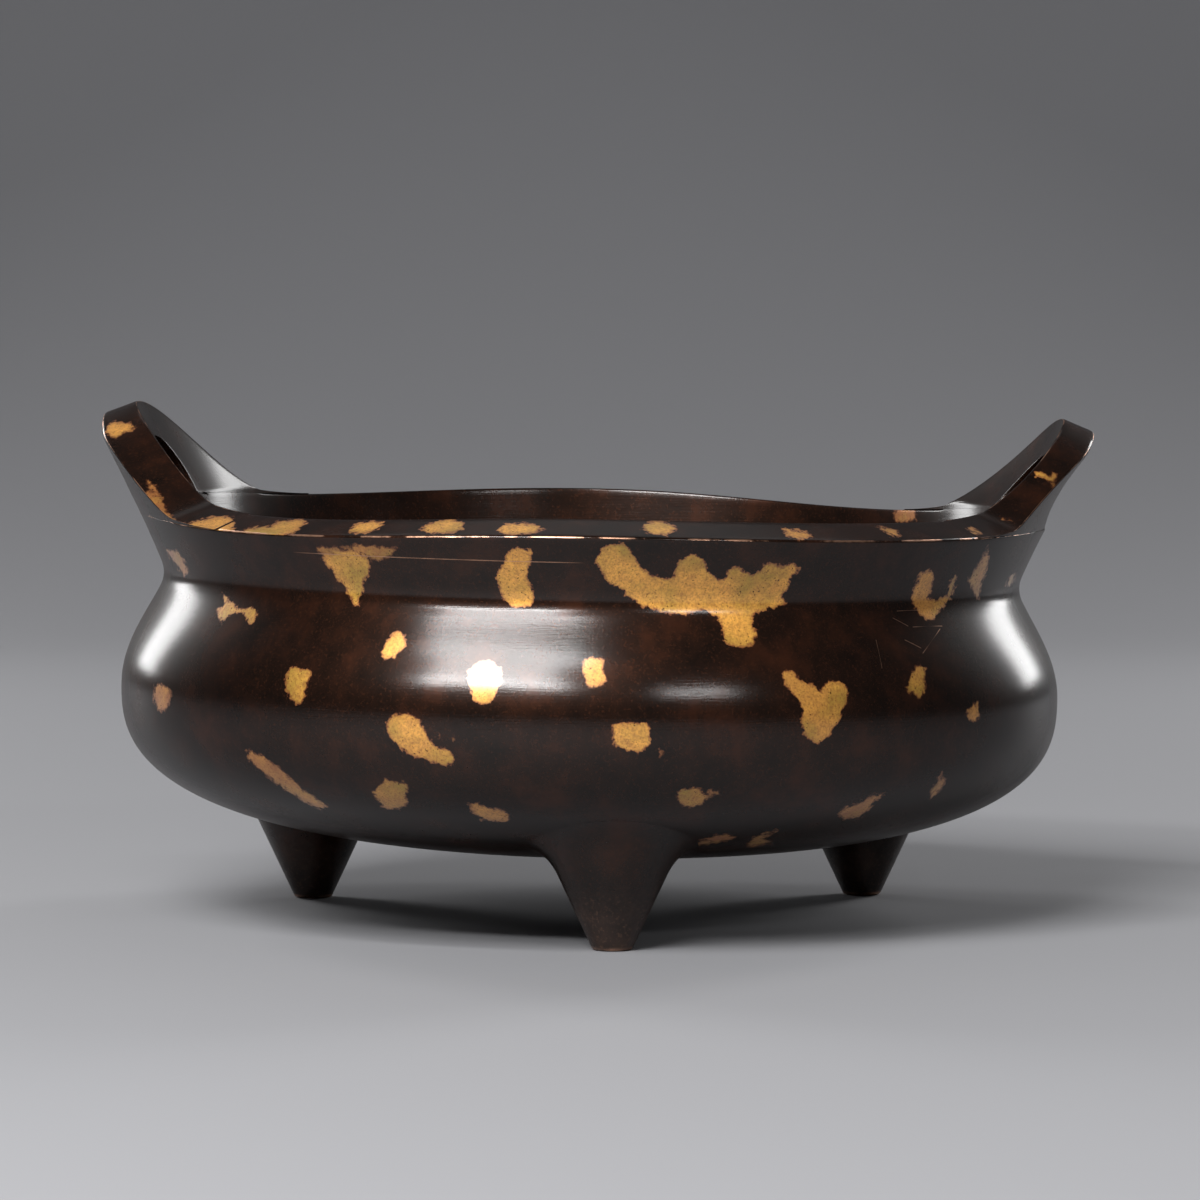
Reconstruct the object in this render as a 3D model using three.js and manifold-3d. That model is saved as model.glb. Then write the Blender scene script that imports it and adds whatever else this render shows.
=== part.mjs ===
// A gold-splashed bronze incense burner: a low round bowl on three conical feet, with two arched ears.
// Millimetres, +Z up. The origin is on the ground in the middle of the three feet.
// +X points to the right ear and -Y to the front foot. The bowl stands slightly askew, as hand work does.
import * as THREE from 'three';
import { mergeVertices } from 'three/addons/utils/BufferGeometryUtils.js';
import Module from 'manifold-3d';

const wasm = await Module();
wasm.setup();

const degree = Math.PI / 180;

// Fit
const clearance = 0.3; // between two castings that seat on each other

// Bowl, from the ground up
const undersideHeight = 14.2; // the underside's middle, above the ground
const bellyRise = 33.3; // from the underside up to where the belly is widest
const shoulderRise = 23; // from there up to the waist
const neckRise = 16.2; // from the waist up to the lip's inner edge

// Bowl, outside
const bellyRadius = 98.2;
const waistInset = 9; // how much smaller the waist's radius is
const undersideSquareness = 2.65; // exponent of the curve from the underside to the belly
const shoulderUprightHeight = 9.5; // how far the belly rises upright before it turns in
const waistApproach = { inward: 2.2, below: 6.3 }; // the shoulder's last straight stretch
const flareSlope = 0.4; // the neck's outward lean, per mm of height
const flareExtraWidth = 1.05; // added at the lip by the lean's growth

// Bowl, metal
const wallThickness = 5;
const floorThickness = 5.5;
const lipThickness = 10.33; // level across the lip, at its inner edge
const lipSlope = 21.5 * degree; // the lip's flat top falls outwards

// Bowl, as it stands
const bowlLean = 1.1 * degree; // towards the right ear
const bowlOffset = -1.3; // the belly's axis, from the middle of the feet

// Lip between the ears: how far each quarter dips
const lipDips = { frontRight: 0.6, backRight: 2.4, backLeft: 1.5, frontLeft: 1.9 };

// Ears
const earRise = 19.4; // top of the arch above the lip
const earReach = 7.2; // from the lip's outer face out to where the ear's tip is trued upright
const earInnerSlope = 0.56; // the inner face's outward lean, per mm of height
const earRoundness = 1.25; // over 1 gives a rounder crown and quicker flanks
const earSwayReach = 1.0; // both crowns lean this far to the right
const earCrown = 6.4; // metal over the top of the hole
const earSplit = 0.855; // share of the arch's half angle where its leg ends
const holeHalfWidth = 13;
const holeCentreAboveLip = 1.3;
const holeTilt = 13 * degree; // the hole runs outwards and down
// slimming: how far each face is dressed back halfway up the ear
const ears = [
  { name: 'ear_right', facing: 0, turn: 1.5 * degree, halfAngle: 28 * degree, slimming: 1.5 },
  { name: 'ear_left', facing: Math.PI, turn: -3.3 * degree, halfAngle: 31 * degree, slimming: 0 },
];

// Tenons under the ears' legs, seated in mortises in the lip
const earTenon = { shareOfLeg: 0.66, thickness: 3, depth: 4.5, rootInEar: 2.5 };

// Feet
const footRingInset = 29.5; // from the belly's widest circle in to the feet's axes
const footRingTurn = 2.8 * degree;
const soleRadius = 3.9;
const footTaper = 0.47; // growth of the radius, per mm of height
const footFlareStart = 12.5; // height where the flare into the bowl begins
const footFlareHeight = 10;
const footFlareReach = 2.2; // extra radius at the top of the flare
const footTenon = { radius: 4.5, depth: 3.2, rootInFoot: 4 };
const feet = [
  { name: 'foot_front', angle: -90 * degree },
  { name: 'foot_rear_right', angle: 30 * degree },
  { name: 'foot_rear_left', angle: 150 * degree },
];

// Square panel let into the underside
const panel = { width: 38.5, depth: 40, thickness: 2.6, border: 2.4, groundDepth: 1.1 };

const cutReach = 15; // how far the cutting shapes run past the metal

// Fineness of the meshes
const aroundSteps = 88;
const bellySteps = 11;
const shoulderSteps = 6;
const flareSteps = 5;
const earArcSteps = 24;
const holeSteps = 20;
const footSides = 30;
const footFlareSteps = 5;
const crestPasses = 8; // each pass brings the outer crest closer to its true height
const gatherAtEars = 0.2; // pulls the mesh's columns towards the ears

// Sizes that follow from the others
const bellyHeight = undersideHeight + bellyRise;
const waistHeight = bellyHeight + shoulderRise;
const lipHeight = waistHeight + neckRise;
const waistRadius = bellyRadius - waistInset;
const lipOuterRadius = flaredRadius(lipHeight);
const lipInnerRadius = lipOuterRadius - lipThickness;
const lipFall = lipThickness * Math.tan(lipSlope); // how much lower the lip's outer edge is
const earTipRadius = lipOuterRadius + earReach;
const footRingRadius = bellyRadius - footRingInset;

// Joining and cutting

function bareMesh(geometry) {
  const bare = geometry.clone();
  bare.deleteAttribute('normal');
  bare.deleteAttribute('uv');
  return mergeVertices(bare, 1e-4);
}

function toSolid(geometry) {
  const merged = bareMesh(geometry);
  const mesh = new wasm.Mesh({
    numProp: 3,
    vertProperties: new Float32Array(merged.attributes.position.array),
    triVerts: new Uint32Array(merged.index.array),
  });
  return new wasm.Manifold(mesh);
}

function toGeometry(solid) {
  const mesh = solid.getMesh();
  const geometry = new THREE.BufferGeometry();
  geometry.setAttribute('position', new THREE.BufferAttribute(new Float32Array(mesh.vertProperties), 3));
  geometry.setIndex(new THREE.BufferAttribute(new Uint32Array(mesh.triVerts), 1));
  geometry.computeVertexNormals();
  return geometry;
}

// How the bowl stands: it leans about the middle of its belly and sits a little to one side.

const standing = new THREE.Matrix4()
  .makeTranslation(bowlOffset, 0, bellyHeight)
  .multiply(new THREE.Matrix4().makeRotationY(bowlLean))
  .multiply(new THREE.Matrix4().makeTranslation(0, 0, -bellyHeight));

function stand(geometry) {
  return geometry.applyMatrix4(standing);
}

// The lip and the ears by angle round the bowl

function angleFromEar(angle, ear) {
  const turned = angle - ear.facing - ear.turn;
  return Math.abs(Math.atan2(Math.sin(turned), Math.cos(turned)));
}

function earShare(angle) {
  let share = 0;
  for (const ear of ears) {
    const reach = Math.min(angleFromEar(angle, ear) / ear.halfAngle, 1);
    share = Math.max(share, Math.cos((Math.PI / 2) * reach ** earRoundness) ** 2);
  }
  return share;
}

function lipDip(angle) {
  const side = Math.cos(angle) >= 0 ? 'Right' : 'Left';
  const end = Math.sin(angle) >= 0 ? 'back' : 'front';
  return lipDips[end + side] * Math.sin(2 * angle) ** 2;
}

function plainLipHeight(angle) {
  return lipHeight - lipDip(angle);
}

function crestHeight(angle) {
  return plainLipHeight(angle) + earRise * earShare(angle);
}

// Radii of the neck's two faces, which the ears carry on upwards

function flaredRadius(height) {
  const rise = height - waistHeight;
  return waistRadius + flareSlope * rise + flareExtraWidth * (rise / neckRise) ** 2;
}

function slimmed(aboveLip, angle) {
  const ear = ears[Math.cos(angle) >= 0 ? 0 : 1];
  const share = Math.min(Math.max(aboveLip / earRise, 0), 1);
  return 4 * ear.slimming * share * (1 - share);
}

function outerRadius(height, angle) {
  const slimming = slimmed(height - lipHeight + lipFall, angle);
  return Math.min(flaredRadius(height), earTipRadius) - slimming;
}

function innerRadius(height, angle) {
  const waistInner = waistRadius - wallThickness;
  if (height > lipHeight) {
    return lipInnerRadius + earInnerSlope * (height - lipHeight) + slimmed(height - lipHeight, angle);
  }
  const share = (height - waistHeight) / (lipHeight - waistHeight);
  return waistInner + (lipInnerRadius - waistInner) * share;
}

function outerCrestHeight(innerHeight, angle) {
  const inner = innerRadius(innerHeight, angle);
  let height = innerHeight;
  for (let pass = 0; pass < crestPasses; pass++) {
    height = innerHeight - (outerRadius(height, angle) - inner) * Math.tan(lipSlope);
  }
  return height;
}

// The bowl's profile, from the middle of the underside out, up, over the lip and down inside

function bellyPoint(radius, bottom, share) {
  const across = Math.sin((share * Math.PI) / 2) ** (2 / undersideSquareness);
  const down = Math.cos((share * Math.PI) / 2) ** (2 / undersideSquareness);
  return new THREE.Vector2(radius * across, bellyHeight - (bellyHeight - bottom) * down);
}

function bellyCurve(radius, bottom) {
  const points = [];
  for (let step = 0; step <= bellySteps; step++) {
    points.push(bellyPoint(radius, bottom, step / bellySteps));
  }
  points[0].x = 0;
  return points;
}

function shoulderCurve(belly, waist) {
  const curve = new THREE.CubicBezierCurve(
    new THREE.Vector2(belly, bellyHeight),
    new THREE.Vector2(belly, bellyHeight + shoulderUprightHeight),
    new THREE.Vector2(waist + waistApproach.inward, waistHeight - waistApproach.below),
    new THREE.Vector2(waist, waistHeight),
  );
  return curve.getPoints(shoulderSteps).slice(1);
}

function bowlProfile() {
  const fixed = (point) => ({ point });
  const outside = [...bellyCurve(bellyRadius, undersideHeight), ...shoulderCurve(bellyRadius, waistRadius)];
  const inBelly = bellyRadius - wallThickness;
  const inWaist = waistRadius - wallThickness;
  const inside = [
    ...bellyCurve(inBelly, undersideHeight + floorThickness),
    ...shoulderCurve(inBelly, inWaist),
  ];
  const rows = outside.map(fixed);
  for (let step = 1; step <= flareSteps; step++) {
    rows.push({ face: outerRadius, share: step / flareSteps });
  }
  for (let step = flareSteps; step >= 1; step--) {
    rows.push({ face: innerRadius, share: step / flareSteps });
  }
  return [...rows, ...inside.reverse().map(fixed)];
}

// The whole casting before the ears are parted from it

function castingBlank() {
  const rows = bowlProfile();
  const nominal = rows.map((row) => row.point ?? new THREE.Vector2(row.face(lipHeight, 0), lipHeight));
  const geometry = new THREE.LatheGeometry(nominal, aroundSteps);
  geometry.rotateX(Math.PI / 2);
  const position = geometry.attributes.position;
  for (let index = 0; index < position.count; index++) {
    const row = rows[index % rows.length];
    const column = Math.floor(index / rows.length) % aroundSteps;
    const even = (column * 2 * Math.PI) / aroundSteps;
    const angle = even - gatherAtEars * Math.sin(2 * even);
    let radius;
    let height;
    if (row.point) {
      radius = row.point.x;
      height = row.point.y;
    } else {
      const crest = crestHeight(angle);
      const top = row.face === outerRadius ? outerCrestHeight(crest, angle) : crest;
      height = waistHeight + (top - waistHeight) * row.share;
      radius = row.face(height, angle);
    }
    const sway = earSwayReach * Math.max(0, height - lipHeight) / earRise;
    position.setXYZ(index, radius * Math.cos(angle) + sway, radius * Math.sin(angle), height);
  }
  return stand(geometry);
}

// A wedge of space over the lip, inside which the blank is ear and not bowl.
// A box is bent round the bowl: x is the angle along the arc, y runs inwards and z up from the seat.

function earSpace(ear, gap) {
  const near = lipInnerRadius - cutReach;
  const far = earTipRadius + cutReach;
  const top = lipHeight + earRise + cutReach;
  const halfAngle = ear.halfAngle * earSplit - gap / lipInnerRadius;
  const geometry = new THREE.BoxGeometry(2 * halfAngle, 1, 1, earArcSteps, 1, 1);
  const position = geometry.attributes.position;
  for (let index = 0; index < position.count; index++) {
    const angle = ear.facing + ear.turn + position.getX(index);
    const radius = position.getY(index) > 0 ? near : far;
    const seat = plainLipHeight(angle) - (radius - lipInnerRadius) * Math.tan(lipSlope) + gap;
    const height = position.getZ(index) > 0 ? top : seat;
    position.setXYZ(index, radius * Math.cos(angle), radius * Math.sin(angle), height);
  }
  return stand(geometry);
}

// The hole under the arch: half an ellipse over a straight sill that the lip itself makes

function earHole(ear) {
  const centre = lipHeight + holeCentreAboveLip;
  const rise = lipHeight + earRise - earCrown - centre;
  const below = holeCentreAboveLip + cutReach;
  const through = 4 * cutReach;
  const shape = new THREE.Shape();
  shape.moveTo(holeHalfWidth, 0);
  shape.absellipse(0, 0, holeHalfWidth, rise, 0, Math.PI, false);
  shape.lineTo(-holeHalfWidth, -below);
  shape.lineTo(holeHalfWidth, -below);
  shape.closePath();
  const geometry = new THREE.ExtrudeGeometry(shape, {
    depth: through,
    bevelEnabled: false,
    curveSegments: holeSteps,
  });
  geometry.applyMatrix4(new THREE.Matrix4().makeBasis(
    new THREE.Vector3(0, 1, 0),
    new THREE.Vector3(0, 0, 1),
    new THREE.Vector3(1, 0, 0),
  ));
  geometry.translate(-through / 2, 0, 0);
  geometry.rotateY(holeTilt);
  geometry.translate(innerRadius(centre, ear.facing), 0, centre);
  geometry.rotateZ(ear.facing + ear.turn);
  return stand(geometry);
}

// One leg of an ear, by angle from the ear's middle: it runs from the hole's edge to the arch's foot

function earLeg(ear) {
  const holeAngle = Math.asin(holeHalfWidth / lipInnerRadius);
  const endAngle = ear.halfAngle * earSplit;
  return { middle: (holeAngle + endAngle) / 2, length: (endAngle - holeAngle) * lipInnerRadius };
}

function earTenonBlock(ear, side, gap) {
  const leg = earLeg(ear);
  const angle = ear.facing + ear.turn + side * leg.middle;
  const tipLevel = lipHeight - lipFall / 2 - earTenon.depth;
  const radius = (innerRadius(tipLevel, angle) + outerRadius(tipLevel, angle)) / 2;
  const seat = plainLipHeight(angle) - (radius - lipInnerRadius) * Math.tan(lipSlope);
  const bottom = seat - earTenon.depth - gap;
  const top = seat + earTenon.rootInEar;
  const across = earTenon.thickness + 2 * gap;
  const along = leg.length * earTenon.shareOfLeg + 2 * gap;
  const geometry = new THREE.BoxGeometry(across, along, top - bottom);
  geometry.translate(radius, 0, (top + bottom) / 2);
  geometry.rotateZ(angle);
  return stand(geometry);
}

function earGeometry(ear, blank) {
  let solid = blank.intersect(toSolid(earSpace(ear, clearance))).subtract(toSolid(earHole(ear)));
  for (const side of [-1, 1]) {
    solid = solid.add(toSolid(earTenonBlock(ear, side, 0)));
  }
  return toGeometry(solid);
}

// Feet

function footPlace(foot) {
  const angle = foot.angle + footRingTurn;
  return new THREE.Vector3(footRingRadius * Math.cos(angle), footRingRadius * Math.sin(angle), 0);
}

function footRadiusAt(height) {
  const share = (height - footFlareStart) / footFlareHeight;
  const flare = Math.min(Math.max(share, 0), 1);
  return soleRadius + footTaper * height + footFlareReach * flare * flare;
}

// Height of the bowl's underside at a distance from its axis

function undersideAt(radius) {
  const share = 1 - (radius / bellyRadius) ** undersideSquareness;
  return bellyHeight - bellyRise * share ** (1 / undersideSquareness);
}

function leanDropAt(x) {
  return (x - bowlOffset) * Math.sin(bowlLean);
}

// The cone runs up until all of its top is hidden in the belly

function footTopHeight() {
  let top = footFlareStart + footFlareHeight;
  while (top < undersideAt(footRingRadius + footRadiusAt(top))) {
    top += footFlareHeight / footFlareSteps;
  }
  return top + leanDropAt(bellyRadius);
}

function footCone() {
  const top = footTopHeight();
  const profile = [new THREE.Vector2(0, 0), new THREE.Vector2(soleRadius, 0)];
  for (let step = 0; step <= footFlareSteps; step++) {
    const level = footFlareStart + (footFlareHeight * step) / footFlareSteps;
    profile.push(new THREE.Vector2(footRadiusAt(level), level));
  }
  profile.push(new THREE.Vector2(footRadiusAt(top), top));
  profile.push(new THREE.Vector2(0, top));
  return new THREE.LatheGeometry(profile, footSides).rotateX(Math.PI / 2);
}

// Solid filling of the bowl's outside, swollen by the clearance, which trims the tops of the feet

function bellyFilling() {
  const profile = bellyCurve(bellyRadius + clearance, undersideHeight - clearance);
  profile.push(new THREE.Vector2(0, bellyHeight));
  return stand(new THREE.LatheGeometry(profile, aroundSteps).rotateX(Math.PI / 2));
}

function footSocketTop(place) {
  const radius = Math.hypot(place.x - bowlOffset, place.y) - footTenon.radius;
  return undersideAt(radius) - leanDropAt(place.x) + footTenon.depth;
}

function footTenonPin(place, gap) {
  const top = footSocketTop(place) + gap;
  const bottom = footSocketTop(place) - footTenon.depth - footTenon.rootInFoot;
  const geometry = new THREE.CylinderGeometry(
    footTenon.radius + gap, footTenon.radius + gap, top - bottom, footSides,
  );
  geometry.rotateX(Math.PI / 2);
  geometry.translate(place.x, place.y, (top + bottom) / 2);
  return geometry;
}

function footGeometry(foot) {
  const place = footPlace(foot);
  const cone = toSolid(footCone().translate(place.x, place.y, 0));
  const trimmed = cone.subtract(toSolid(bellyFilling()));
  return toGeometry(trimmed.add(toSolid(footTenonPin(place, 0))));
}

// Panel under the bowl: a plate with a raised border round a bare sunken ground

function panelBlock(width, depth, bottom, top) {
  const geometry = new THREE.BoxGeometry(width, depth, top - bottom);
  geometry.translate(0, 0, (top + bottom) / 2);
  return stand(geometry);
}

function panelGeometry() {
  const inset = 2 * panel.border;
  const face = undersideHeight;
  const plate = toSolid(panelBlock(panel.width, panel.depth, face, face + panel.thickness));
  const ground = panelBlock(
    panel.width - inset, panel.depth - inset, face - cutReach, face + panel.groundDepth,
  );
  return toGeometry(plate.subtract(toSolid(ground)));
}

function panelRecess() {
  const play = 2 * clearance;
  const top = undersideHeight + panel.thickness + clearance;
  return panelBlock(panel.width + play, panel.depth + play, undersideHeight - cutReach, top);
}

// Bowl: the blank without the ears, with their mortises, the feet's sockets and the panel's recess

function bowlGeometry(blank) {
  let solid = blank;
  for (const ear of ears) {
    solid = solid.subtract(toSolid(earSpace(ear, 0)));
    for (const side of [-1, 1]) {
      solid = solid.subtract(toSolid(earTenonBlock(ear, side, clearance)));
    }
  }
  for (const foot of feet) {
    solid = solid.subtract(toSolid(footTenonPin(footPlace(foot), clearance)));
  }
  return toGeometry(solid.subtract(toSolid(panelRecess())));
}

// Materials

function patinatedBronze() {
  return new THREE.MeshStandardMaterial({ color: '#2b1c17', roughness: 0.32, metalness: 0.85 });
}

function footBronze() {
  return new THREE.MeshStandardMaterial({ color: '#33241c', roughness: 0.45, metalness: 0.8 });
}

function groundBronze() {
  return new THREE.MeshStandardMaterial({ color: '#3a2a20', roughness: 0.6, metalness: 0.75 });
}

function pieceMesh(name, geometry, material) {
  const mesh = new THREE.Mesh(geometry, material);
  mesh.name = name;
  return mesh;
}

function incenseBurner() {
  const burner = new THREE.Group();
  const blank = toSolid(castingBlank());
  burner.add(pieceMesh('bowl', bowlGeometry(blank), patinatedBronze()));
  for (const ear of ears) {
    burner.add(pieceMesh(ear.name, earGeometry(ear, blank), patinatedBronze()));
  }
  for (const foot of feet) {
    burner.add(pieceMesh(foot.name, footGeometry(foot), footBronze()));
  }
  burner.add(pieceMesh('base_mark_panel', panelGeometry(), groundBronze()));
  return burner;
}

export default incenseBurner();
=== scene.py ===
import math
from functools import partial

import bpy
import numpy as np
from mathutils import Matrix, Vector


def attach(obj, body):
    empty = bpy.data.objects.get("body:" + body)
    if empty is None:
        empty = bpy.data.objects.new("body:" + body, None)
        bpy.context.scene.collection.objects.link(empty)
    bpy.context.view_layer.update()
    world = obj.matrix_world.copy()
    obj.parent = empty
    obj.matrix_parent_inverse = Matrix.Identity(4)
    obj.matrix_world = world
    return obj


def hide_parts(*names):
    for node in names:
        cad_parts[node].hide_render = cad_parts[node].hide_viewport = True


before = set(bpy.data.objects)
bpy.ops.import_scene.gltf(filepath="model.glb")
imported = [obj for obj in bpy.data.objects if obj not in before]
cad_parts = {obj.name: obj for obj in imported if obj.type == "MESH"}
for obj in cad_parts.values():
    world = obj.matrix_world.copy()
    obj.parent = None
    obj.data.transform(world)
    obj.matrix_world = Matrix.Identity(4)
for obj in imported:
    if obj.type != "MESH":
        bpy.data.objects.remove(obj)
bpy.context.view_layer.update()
mm = 0.001
print("frame loaded")

# Where the photograph was taken from, in mm and degrees
photoCamera = {
    "place": (0.9, -1224.3, 132.3),
    "pitchDown": 3.098,
    "lens": 174.9,
    "sensor": 36.0,
    "pictureWidth": 1200,
    "clip": (0.05, 50),
}
photoFocal = photoCamera["lens"] / photoCamera["sensor"] * photoCamera["pictureWidth"]
photoHalf = photoCamera["pictureWidth"] / 2
photoTilt = math.radians(photoCamera["pitchDown"])


def addCamera(values):
    place = Vector(values["place"]) * mm
    turn = (math.radians(90 - values["pitchDown"]), 0, 0)
    bpy.ops.object.camera_add(location=place, rotation=turn)
    camera = bpy.context.object
    camera.data.lens = values["lens"]
    camera.data.sensor_width = values["sensor"]
    camera.data.clip_start, camera.data.clip_end = values["clip"]
    bpy.context.scene.camera = camera


addCamera(photoCamera)


# The bowl's sizes in mm and degrees, as in the solid model
bowlValues = {
    "undersideHeight": 14.2,
    "bellyRise": 33.3,
    "shoulderRise": 23.0,
    "neckRise": 16.2,
    "bellyRadius": 98.2,
    "waistInset": 9.0,
    "undersideSquareness": 2.65,
    "shoulderUpright": 9.5,
    "waistInward": 2.2,
    "waistBelow": 6.3,
    "flareSlope": 0.4,
    "flareExtra": 1.05,
    "wall": 5.0,
    "floor": 5.5,
    "lipThickness": 10.33,
    "lipSlope": 21.5,
    "lean": 1.1,
    "offset": -1.3,
    "dips": {"frontRight": 0.6, "backRight": 2.4, "backLeft": 1.5, "frontLeft": 1.9},
    "edgeRound": 0.7,
    "flush": {"round": 0.03, "from": 0.3, "to": 1.2, "margin": 0.02},
    "waistRound": 2.4,
    "columns": 440,
    "outsideStep": 1.3,
    "insideStep": 4.0,
    "neckRows": 12,
    "waistRows": 6,
    "roundRows": 4,
    "lipRows": 7,
    "bellySteps": 400,
    "shoulderSteps": 100,
}

# The ears' sizes in mm and degrees, or as shares
earValues = {
    "rise": 19.4,
    "reach": 7.12,
    "innerSlope": 0.56,
    "roundness": 1.25,
    "sway": 1.0,
    "crown": 6.4,
    "tipSoftness": 0.8,
    "holeHalfWidth": 13.0,
    "holeCentreAboveLip": 1.3,
    "holeTilt": 13.0,
    "edgeRound": 0.6,
    "footRise": 1.1,
    "footFrom": 0.62,
    "footTo": 1.34,
    "strapEnd": 0.97,
    "archShare": 0.86,
    "dropRange": (-12.0, 3.0),
    "ears": {
        "earRight": {"node": "ear_right", "facing": 0.0, "turn": 1.5, "halfAngle": 28.0, "slimming": 1.5},
        "earLeft": {"node": "ear_left", "facing": 180.0, "turn": -3.3, "halfAngle": 31.0, "slimming": 0.0},
    },
    "sections": 120,
    "faceSteps": 10,
    "edgeSteps": 4,
    "roundSteps": 3,
}

bellyHeight = bowlValues["undersideHeight"] + bowlValues["bellyRise"]
waistHeight = bellyHeight + bowlValues["shoulderRise"]
lipHeight = waistHeight + bowlValues["neckRise"]
waistRadius = bowlValues["bellyRadius"] - bowlValues["waistInset"]
lipSlope = math.tan(math.radians(bowlValues["lipSlope"]))
lean = math.radians(bowlValues["lean"])
standing = (
    Matrix.Translation((bowlValues["offset"], 0, bellyHeight))
    @ Matrix.Rotation(lean, 4, "Y")
    @ Matrix.Translation((0, 0, -bellyHeight))
)


def mix(a, b, share):
    return a + (b - a) * share


def smoothStep(low, high, value):
    share = min(max((value - low) / (high - low), 0.0), 1.0)
    return share * share * (3 - 2 * share)


def flaredRadius(height):
    rise = height - waistHeight
    grown = bowlValues["flareExtra"] * (rise / bowlValues["neckRise"]) ** 2
    return waistRadius + bowlValues["flareSlope"] * rise + grown


lipOuterRadius = flaredRadius(lipHeight)
lipInnerRadius = lipOuterRadius - bowlValues["lipThickness"]
lipFall = bowlValues["lipThickness"] * lipSlope
earTipRadius = lipOuterRadius + earValues["reach"]


def slimmed(aboveLip, slimming):
    share = min(max(aboveLip / earValues["rise"], 0.0), 1.0)
    return 4 * slimming * share * (1 - share)


def outerRadius(height, slimming=0.0):
    flared = flaredRadius(height)
    apart = math.hypot(flared - earTipRadius, earValues["tipSoftness"])
    return (flared + earTipRadius - apart) / 2 - slimmed(height - lipHeight + lipFall, slimming)


def innerRadius(height, slimming=0.0):
    if height > lipHeight:
        above = height - lipHeight
        return lipInnerRadius + earValues["innerSlope"] * above + slimmed(above, slimming)
    inner = waistRadius - bowlValues["wall"]
    return mix(inner, lipInnerRadius, (height - waistHeight) / (lipHeight - waistHeight))


def plainLipHeight(angle):
    side = "Right" if math.cos(angle) >= 0 else "Left"
    end = "back" if math.sin(angle) >= 0 else "front"
    return lipHeight - bowlValues["dips"][end + side] * math.sin(2 * angle) ** 2


def angleFromEar(angle, ear):
    turned = angle - earDirection(ear)
    return math.atan2(math.sin(turned), math.cos(turned))


def earDirection(ear):
    return math.radians(ear["facing"] + ear["turn"])


def earShare(away, ear):
    reach = abs(away) / math.radians(ear["halfAngle"])
    arch = math.cos(math.pi / 2 * min(reach, 1.0) ** earValues["roundness"]) ** 2
    foot = smoothStep(earValues["footTo"], earValues["footFrom"], reach)
    return arch + earValues["footRise"] / earValues["rise"] * foot * (1 - arch)


# Rounds after which each repeated estimate has settled
rounds = {"crest": 8, "holeFace": 12, "holeSill": 30, "faceLine": 6, "underside": 6, "footMeet": 30}


def outerCrestHeight(innerHeight, slimming=0.0):
    inner = innerRadius(innerHeight, slimming)
    height = innerHeight
    for _ in range(rounds["crest"]):
        height = innerHeight - (outerRadius(height, slimming) - inner) * lipSlope
    return height


# Drawing helpers


sharpAngle = 38  # edges sharper than this, in degrees, stay crisp
weldWithin = 0.0001 * mm


def setMode(mode):
    bpy.ops.object.mode_set(mode=mode)


def weld():
    bpy.ops.mesh.select_all(action="SELECT")
    bpy.ops.mesh.remove_doubles(threshold=weldWithin)


def deselect():
    if bpy.context.object and bpy.context.object.mode != "OBJECT":
        setMode("OBJECT")
    bpy.ops.object.select_all(action="DESELECT")


def pick(piece):
    deselect()
    piece.select_set(True)
    bpy.context.view_layer.objects.active = piece


def editAll(piece):
    pick(piece)
    setMode("EDIT")
    bpy.ops.mesh.select_all(action="SELECT")


def finishMesh(piece):
    editAll(piece)
    weld()
    bpy.ops.mesh.normals_make_consistent(inside=False)
    setMode("OBJECT")
    bpy.ops.object.shade_smooth_by_angle(angle=math.radians(sharpAngle))


# Profile: (radius, height) pairs in mm
def drawSpun(name, profile, centre, columns):
    deselect()
    bpy.ops.mesh.primitive_plane_add(size=mm)
    piece = bpy.context.object
    piece.name = name
    setMode("EDIT")
    bpy.ops.mesh.select_all(action="SELECT")
    bpy.ops.mesh.merge(type="CENTER")
    points = [Vector((centre[0] + radius, centre[1], height)) * mm for radius, height in profile]
    bpy.ops.transform.translate(value=points[0])
    for before, after in zip(points, points[1:]):
        bpy.ops.mesh.extrude_region_move(TRANSFORM_OT_translate={"value": after - before})
    setMode("OBJECT")
    rows = piece.data.attributes.new("row", "INT", "POINT")
    rows.data.foreach_set("value", list(range(len(points))))
    editAll(piece)
    axisPoint = (centre[0] * mm, centre[1] * mm, 0)
    bpy.ops.mesh.spin(
        steps=columns, angle=2 * math.pi, center=axisPoint, axis=(0, 0, 1), use_auto_merge=True
    )
    weld()
    setMode("OBJECT")
    return piece


# Resamples a fine line at equal steps
def evenly(points, step):
    lengths = [0.0]
    for before, after in zip(points, points[1:]):
        lengths.append(lengths[-1] + math.dist(before, after))
    count = max(2, round(lengths[-1] / step))
    wanted = [lengths[-1] * index / count for index in range(count + 1)]
    radii = np.interp(wanted, lengths, [point[0] for point in points])
    heights = np.interp(wanted, lengths, [point[1] for point in points])
    return list(zip(radii.tolist(), heights.tolist()))


# Bowl


def bellyLine(radius, bottom):
    power = 2 / bowlValues["undersideSquareness"]
    points = []
    for index in range(bowlValues["bellySteps"] + 1):
        turn = math.pi / 2 * index / bowlValues["bellySteps"]
        across = radius * math.sin(turn) ** power
        down = (bellyHeight - bottom) * max(math.cos(turn), 0.0) ** power
        points.append((across, bellyHeight - down))
    return points


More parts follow.
